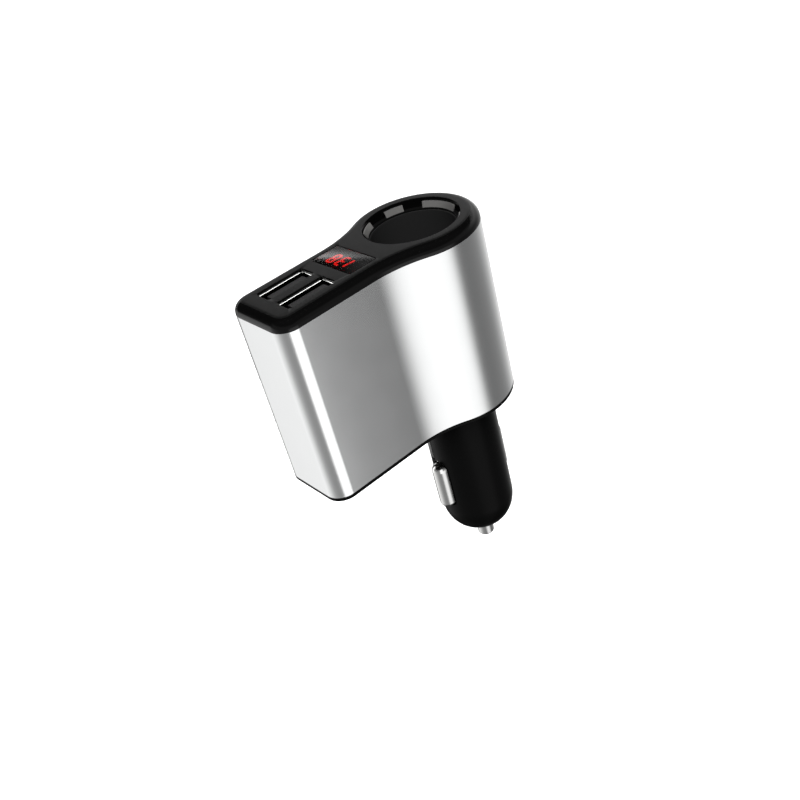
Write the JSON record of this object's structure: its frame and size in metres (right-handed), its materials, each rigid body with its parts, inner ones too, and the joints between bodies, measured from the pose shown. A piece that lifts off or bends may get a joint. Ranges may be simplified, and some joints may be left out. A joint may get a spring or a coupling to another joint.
{
  "type": "car charger plug",
  "caption": "Car lighter-socket plug whose flat aluminium body carries a pass-through socket, USB ports and a red voltage display.",
  "frame": {"origin": "on the plug's axis, level with the underside of the base cover, where the plug's barrel leaves it", "axes": "+Z along the plug's axis, out of the socket's mouth; the USB end points along -X; +Y across the body"},
  "size_m": [0.065, 0.0332, 0.1018],
  "materials": {
    "sleeve": "satin anodised",
    "cover": "black, satin top with a glossy rim",
    "black_plastic": "moulded",
    "bare_steel": "rolled sheet",
    "dark_steel": "oxide finish",
    "nickel": "polished nickel plate",
    "brass": "plated",
    "gold": "gold plate",
    "window_glass": "polished, smoked",
    "display_case": "moulded",
    "digit_red": "lit strokes",
    "board_green": "solder mask",
    "ferrite": "coated",
    "copper": "enamelled copper wire",
    "capacitor_can": "sleeved can",
    "chip_black": "epoxy",
    "ceramic": "ceramic with tinned ends",
    "paper_tube": "laminate",
    "fuse_clear": "clear",
    "wire_red": "insulation",
    "wire_black": "insulation"
  },
  "bodies": {
    "housing": {"metal_sleeve": "sleeve", "top_cover": "cover", "base_cover": "cover", "cover_posts": "cover", "socket_liner": "black_plastic", "lug_ring": "dark_steel", "socket_shell": "bare_steel", "socket_floor": "black_plastic", "centre_spring": "bare_steel", "usb_shell_left": "bare_steel", "usb_shell_right": "bare_steel", "usb_tongue_left": "black_plastic", "usb_tongue_right": "black_plastic", "usb_pins_left": "gold", "usb_pins_right": "gold", "display_window": "window_glass", "display_module": "display_case", "display_digits": "digit_red", "display_board": "board_green", "display_pins": "gold", "port_board": "board_green", "main_board": "board_green", "ring_core": "ferrite", "ring_winding": "copper", "input_capacitor": "capacitor_can", "output_capacitor": "capacitor_can", "converter_chip": "chip_black", "power_diode": "chip_black", "chip_parts": "ceramic", "plug_barrel": "black_plastic", "ground_ring": "bare_steel", "fuse_tube": "paper_tube", "fuse_glass": "fuse_clear", "fuse_caps": "nickel", "fuse_wire": "bare_steel", "fuse_clip": "brass", "tip_spring": "bare_steel", "live_wire": "wire_red", "ground_wire": "wire_black", "cover_screws": "bare_steel"},
    "tip": {"tip_pin": "nickel"},
    "socket_contact": {"centre_contact": "brass"},
    "left_contact": {"side_contact_left": "nickel"},
    "right_contact": {"side_contact_right": "nickel"}
  },
  "joints": [
    {"name": "tip_slide", "type": "slide", "parent": "housing", "child": "tip", "axis": [0, 0, 1], "range_m": [0, 0.003], "stiffness_N_per_m": 900, "springref_m": -0.002, "deforming": ["tip_spring"]},
    {"name": "socket_contact_slide", "type": "slide", "parent": "housing", "child": "socket_contact", "axis": [0, 0, -1], "range_m": [0, 0.0015], "stiffness_N_per_m": 1500, "springref_m": -0.001, "deforming": ["centre_spring"]},
    {"name": "left_contact_hinge", "type": "hinge", "parent": "housing", "child": "left_contact", "pos_m": [-0.0094, 0, -0.0052], "axis": [0, -1, 0], "range_deg": [0, 6], "stiffness_Nm_per_rad": 0.5, "springref_deg": -2.86},
    {"name": "right_contact_hinge", "type": "hinge", "parent": "housing", "child": "right_contact", "pos_m": [0.0094, 0, -0.0052], "axis": [0, 1, 0], "range_deg": [0, 6], "stiffness_Nm_per_rad": 0.5, "springref_deg": -2.86}
  ]
}
